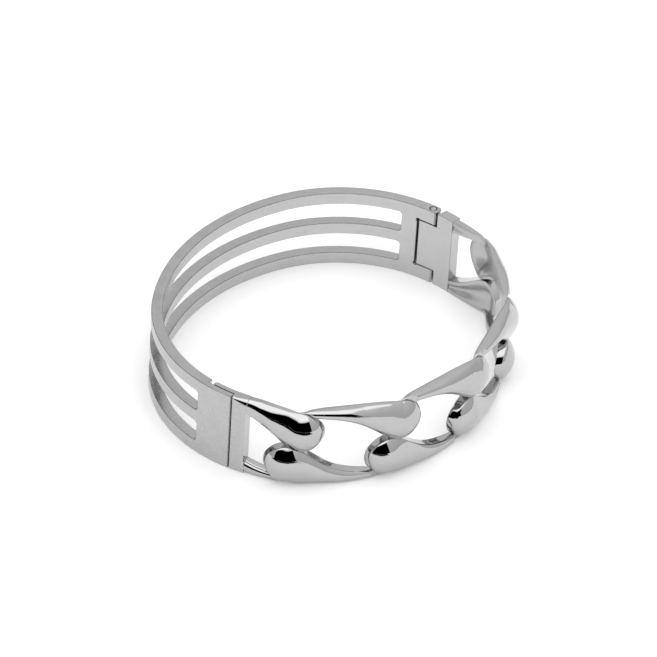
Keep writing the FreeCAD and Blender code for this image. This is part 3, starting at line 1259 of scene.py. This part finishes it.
# ---- finishes ------------------------------------------------------------------------
@dataclass(frozen=True)
class SteelFinish:
    """Bare steel: colour, gloss, the marks that its last working left, and a painted shade on outward
    faces and the slots' upward walls.

    Shares are fractions of the tone, scales are waves per metre and heights are metres.
    A pair such as wall_none and wall_full gives the facing at which a mark starts and is full.
    """

    name: str
    grey: float
    roughness: float
    cloud: float
    grain: float
    grain_bump: float
    wave_bump: float
    grain_round: float = 40.0
    grain_across: float = 9000.0
    rough_inside: float = 0.0
    speckle: float = 0.0
    # painted shade: the darker tone given to outward faces and the slots' upward walls
    painted_shade_tone: float = 1.0
    coarser: float = 0.07
    mirror: float = 0.035
    green_share: float = 0.996
    rough_least: float = 0.75
    rough_most: float = 1.35
    inside_full: float = -0.55
    inside_none: float = -0.15
    outside_none: float = 0.3
    outside_full: float = 0.8
    wall_none: float = 0.6
    wall_full: float = 0.9
    wall_share: float = 0.5
    wall_below: float = 0.0135
    wall_top: float = 0.0139
    cloud_scale: float = 420.0
    wave_scale: float = 150.0
    fleck_scale: float = 2600.0
    wave_height: float = 0.0004
    grain_height: float = 0.00002

    def level_part(self, board: NodeBoard, place: Socket) -> Socket:
        """Place with its height taken out."""
        return board.vector("MULTIPLY", place, (1.0, 1.0, 0.0)).outputs[0]

    def grain_place(self, board: NodeBoard) -> Socket:
        """Coordinates that are long round the bangle and short across it, for brushing.

        Args:
            board: Board of the material's tree.

        Returns:
            The coordinates' socket.
        """
        place = board.add("ShaderNodeTexCoord").outputs["Object"]
        split = board.add("ShaderNodeSeparateXYZ", {0: place}).outputs
        turn = board.math("ARCTAN2", split["Y"], split["X"])
        radius = board.vector("LENGTH", self.level_part(board, place)).outputs["Value"]
        around = board.product(turn, self.grain_round)
        outwards = board.product(radius, self.grain_across)
        upwards = board.product(split["Z"], self.grain_across)
        return board.add("ShaderNodeCombineXYZ", {0: around, 1: outwards, 2: upwards}).outputs[0]

    def facing(self, board: NodeBoard) -> Socket:
        """How far a face looks away from the bangle's middle: 1 straight out, -1 straight in.

        Args:
            board: Board of the material's tree.

        Returns:
            The number's socket.
        """
        coordinates = board.add("ShaderNodeTexCoord").outputs
        flat = self.level_part(board, coordinates["Object"])
        outwards = board.vector("NORMALIZE", flat).outputs[0]
        return board.vector("DOT_PRODUCT", outwards, coordinates["Normal"]).outputs["Value"]

    def coarse_and_shaded_places(self, board: NodeBoard) -> Socket:
        """One on outward faces and a half on the slots' upward walls, which are left coarser and are
        darkened by a painted shade.

        Args:
            board: Board of the material's tree.

        Returns:
            The number's socket.
        """
        coordinates = board.add("ShaderNodeTexCoord").outputs
        upward = board.add("ShaderNodeSeparateXYZ", {0: coordinates["Normal"]}).outputs["Z"]
        height = board.add("ShaderNodeSeparateXYZ", {0: coordinates["Object"]}).outputs["Z"]
        below_top = board.ramp(height, self.wall_below, self.wall_top, self.wall_share, 0.0)
        walls = board.product(board.ramp(upward, self.wall_none, self.wall_full), below_top)
        outside = board.ramp(self.facing(board), self.outside_none, self.outside_full)
        return board.math("MAXIMUM", walls, outside)

    def make(self, worn: bool = False) -> Material:
        """Node material of the finish.

        Args:
            worn: The piece's polish attribute takes the surface from this finish to a mirror.

        Returns:
            The material.
        """
        material, board = new_material(self.name)
        place = board.add("ShaderNodeTexCoord").outputs["Object"]
        cloud = board.noise(place, self.cloud_scale, detail=4.0, roughness=0.6)
        wave = board.noise(place, self.wave_scale, detail=1.0)
        grain = board.noise(self.grain_place(board), 1.0, detail=3.0, roughness=0.65)
        clouds = board.ramp(cloud, *NOISE_SPAN, 1.0 - self.cloud, 1.0 + self.cloud)
        grains = board.ramp(grain, *NOISE_SPAN, 1.0 - self.grain, 1.0 + self.grain)
        tone = board.product(clouds, grains)
        smoothest, roughest = self.roughness * self.rough_least, self.roughness * self.rough_most
        rough = board.ramp(cloud, *GLOSS_SPAN, smoothest, roughest)
        strength = self.grain_bump
        if self.rough_inside:
            facing, limits = self.facing(board), (self.inside_full, self.inside_none)
            rough = board.ramp(facing, *limits, self.rough_inside, rough)
        if self.speckle:
            coarse_and_shaded = self.coarse_and_shaded_places(board)
            fleck_and_shade = board.noise(place, self.fleck_scale, detail=3.0, roughness=0.7)
            # painted shade: outward faces and the slots' upward walls are darkened to the lower tone,
            # with flecks
            low, high = self.painted_shade_tone - self.speckle, self.painted_shade_tone + self.speckle
            fleck_and_shade = board.ramp(fleck_and_shade, *NOISE_SPAN, low, high)
            tone = board.product(tone, board.ramp(coarse_and_shaded, 0.0, 1.0, 1.0, fleck_and_shade))
            rough = board.math("MULTIPLY_ADD", coarse_and_shaded, self.coarser, rough)
        if worn:
            polish = board.add("ShaderNodeAttribute", attribute_name="polish").outputs["Fac"]
            rough = board.ramp(polish, 0.0, 1.0, rough, self.mirror)
            strength = board.ramp(polish, 0.0, 1.0, self.grain_bump, 0.0)
        grey = board.product(tone, self.grey)
        shades = {0: grey, 1: board.product(grey, self.green_share), 2: grey}
        colour = board.add("ShaderNodeCombineColor", shades).outputs[0]
        waves = {"Strength": self.wave_bump, "Distance": self.wave_height, "Height": wave}
        waved = board.add("ShaderNodeBump", waves).outputs[0]
        marks = {"Strength": strength, "Distance": self.grain_height, "Height": grain, "Normal": waved}
        normal = board.add("ShaderNodeBump", marks).outputs[0]
        look = {"Base Color": colour, "Roughness": rough, "Normal": normal, "Metallic": 1.0}
        shader = board.add("ShaderNodeBsdfPrincipled", look)
        board.add("ShaderNodeOutputMaterial", {0: shader.outputs[0]})
        return material


POLISHED = SteelFinish(
    name="polished_steel",
    grey=0.48,
    roughness=0.03,
    cloud=0.02,
    grain=0.015,
    grain_bump=0.05,
    wave_bump=0.012,
    rough_inside=0.3,
)
SATIN = SteelFinish(
    name="satin_steel",
    grey=0.515,
    roughness=0.2,
    cloud=0.03,
    grain=0.035,
    grain_bump=0.2,
    wave_bump=0.015,
    grain_round=14.0,
    speckle=0.035,
    # painted shade: outward faces and slot walls are given a darker tone
    painted_shade_tone=0.93,
)
# painted shade: the eased corners get a far darker grey than the faces, so they show as dark lines
PAINTED_SHADE_EDGE = SteelFinish(
    name="eased_edge_painted_shade",
    grey=0.27,
    roughness=0.07,
    cloud=0.04,
    grain=0.04,
    grain_bump=0.05,
    wave_bump=0.01,
)
PIN = SteelFinish(
    name="pin_steel",
    grey=0.5,
    roughness=0.14,
    cloud=0.05,
    grain=0.08,
    grain_bump=0.4,
    wave_bump=0.01,
)


def main() -> None:
    """Builds the scene in order."""
    logging.basicConfig(level=logging.INFO, format="%(name)s %(message)s")
    StudioCamera().make()
    # edge is the darker steel that paints shade lines on the eased corners
    polished, satin, pin, edge = POLISHED.make(), SATIN.make(), PIN.make(), PAINTED_SHADE_EDGE.make()
    EasedPart("rear_band", "rear_half", "satin_steel").make(satin, edge)
    EasedPart("hinge_plate", "front_half", "satin_steel", ease=0.05).make(satin, edge)
    EasedPart("hinge_pin", "rear_half", "pin_steel", ease=0.15).make(pin, edge)
    chain = LinkChain()
    chain.make(polished)
    ClaspPlate(chain).make(SATIN.make(worn=True))
    Studio().make()
    bpy.context.scene.view_settings.view_transform = "Standard"


if __name__ == "__main__":
    main()
